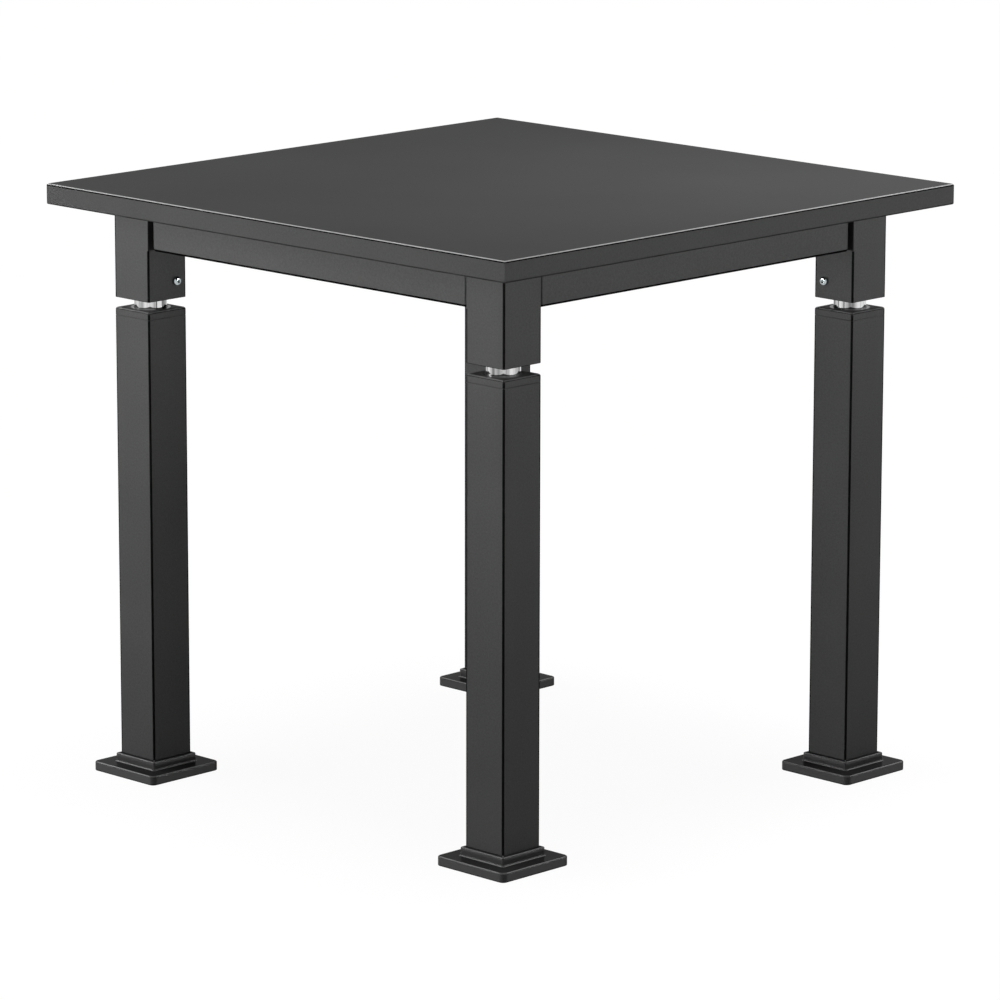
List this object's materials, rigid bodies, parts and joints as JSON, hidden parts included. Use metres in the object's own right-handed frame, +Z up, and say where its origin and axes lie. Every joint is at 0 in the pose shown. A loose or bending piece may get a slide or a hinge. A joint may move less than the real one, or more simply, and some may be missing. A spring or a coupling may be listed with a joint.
{
  "type": "height-adjustable laboratory table",
  "caption": "Square laboratory table: a plain dark slab on an apron frame, carried by telescopic square legs with chrome inner tubes and flanged feet.",
  "frame": {"origin": "on the floor, under the middle of the worktop", "axes": "+Z up through the worktop, front at -Y, +X to the right"},
  "size_m": [0.77, 0.77, 0.728],
  "materials": {
    "worktop_slab": "smooth satin resin slab",
    "powder_coat": "fine-texture graphite powder coat",
    "black_plastic": "glossy moulded",
    "chrome_tube": "mirror chrome plate",
    "zinc_steel": "bright zinc plate",
    "cast_aluminium": "as cast",
    "drawn_steel": "drawn, oiled",
    "glide_plastic": "natural moulded",
    "motor_housing": "satin black paint"
  },
  "bodies": {
    "leg_front_left": {"lower_leg_front_left": "powder_coat", "leg_cap_front_left": "black_plastic", "foot_front_left": "black_plastic", "push_tube_front_left": "drawn_steel", "spindle_nut_front_left": "glide_plastic"},
    "leg_front_right": {"lower_leg_front_right": "powder_coat", "leg_cap_front_right": "black_plastic", "foot_front_right": "black_plastic", "push_tube_front_right": "drawn_steel", "spindle_nut_front_right": "glide_plastic"},
    "leg_back_left": {"lower_leg_back_left": "powder_coat", "leg_cap_back_left": "black_plastic", "foot_back_left": "black_plastic", "push_tube_back_left": "drawn_steel", "spindle_nut_back_left": "glide_plastic"},
    "leg_back_right": {"lower_leg_back_right": "powder_coat", "leg_cap_back_right": "black_plastic", "foot_back_right": "black_plastic", "push_tube_back_right": "drawn_steel", "spindle_nut_back_right": "glide_plastic"},
    "frame": {"worktop": "worktop_slab", "apron_front": "powder_coat", "apron_back": "powder_coat", "apron_left": "powder_coat", "apron_right": "powder_coat", "upper_post_front_left": "powder_coat", "column_head_front_left": "cast_aluminium", "post_screw_1_front_left": "zinc_steel", "post_screw_2_front_left": "zinc_steel", "inner_tube_front_left": "chrome_tube", "glide_ring_front_left": "glide_plastic", "drive_motor_front_left": "motor_housing", "upper_post_front_right": "powder_coat", "column_head_front_right": "cast_aluminium", "post_screw_1_front_right": "zinc_steel", "post_screw_2_front_right": "zinc_steel", "inner_tube_front_right": "chrome_tube", "glide_ring_front_right": "glide_plastic", "drive_motor_front_right": "motor_housing", "upper_post_back_left": "powder_coat", "column_head_back_left": "cast_aluminium", "post_screw_1_back_left": "zinc_steel", "post_screw_2_back_left": "zinc_steel", "inner_tube_back_left": "chrome_tube", "glide_ring_back_left": "glide_plastic", "drive_motor_back_left": "motor_housing", "upper_post_back_right": "powder_coat", "column_head_back_right": "cast_aluminium", "post_screw_1_back_right": "zinc_steel", "post_screw_2_back_right": "zinc_steel", "inner_tube_back_right": "chrome_tube", "glide_ring_back_right": "glide_plastic", "drive_motor_back_right": "motor_housing"},
    "spindle_front_left": {"spindle_front_left": "drawn_steel"},
    "spindle_front_right": {"spindle_front_right": "drawn_steel"},
    "spindle_back_left": {"spindle_back_left": "drawn_steel"},
    "spindle_back_right": {"spindle_back_right": "drawn_steel"}
  },
  "joints": [
    {"name": "table_lift", "type": "slide", "parent": "leg_front_left", "child": "frame", "axis": [0, 0, 1], "range_m": [0, 0.4]},
    {"name": "leg_slide_front_right", "type": "slide", "parent": "frame", "child": "leg_front_right", "axis": [0, 0, -1], "range_m": [0, 0.4]},
    {"name": "leg_slide_back_left", "type": "slide", "parent": "frame", "child": "leg_back_left", "axis": [0, 0, -1], "range_m": [0, 0.4]},
    {"name": "leg_slide_back_right", "type": "slide", "parent": "frame", "child": "leg_back_right", "axis": [0, 0, -1], "range_m": [0, 0.4]},
    {"name": "spindle_turn_front_left", "type": "hinge", "parent": "frame", "child": "spindle_front_left", "pos_m": [-0.298, -0.298, 0.4], "axis": [0, 0, 1], "range_deg": [0, 14400]},
    {"name": "spindle_turn_front_right", "type": "hinge", "parent": "frame", "child": "spindle_front_right", "pos_m": [0.298, -0.298, 0.4], "axis": [0, 0, 1], "range_deg": [0, 14400]},
    {"name": "spindle_turn_back_left", "type": "hinge", "parent": "frame", "child": "spindle_back_left", "pos_m": [-0.298, 0.298, 0.4], "axis": [0, 0, 1], "range_deg": [0, 14400]},
    {"name": "spindle_turn_back_right", "type": "hinge", "parent": "frame", "child": "spindle_back_right", "pos_m": [0.298, 0.298, 0.4], "axis": [0, 0, 1], "range_deg": [0, 14400]}
  ],
  "couplings": [
    {"joint": "leg_slide_front_right", "follows": "table_lift", "ratio": 1},
    {"joint": "leg_slide_back_left", "follows": "table_lift", "ratio": 1},
    {"joint": "leg_slide_back_right", "follows": "table_lift", "ratio": 1},
    {"joint": "spindle_turn_front_left", "follows": "table_lift", "rad_per_m": 628.32},
    {"joint": "spindle_turn_front_right", "follows": "table_lift", "rad_per_m": 628.32},
    {"joint": "spindle_turn_back_left", "follows": "table_lift", "rad_per_m": 628.32},
    {"joint": "spindle_turn_back_right", "follows": "table_lift", "rad_per_m": 628.32}
  ]
}
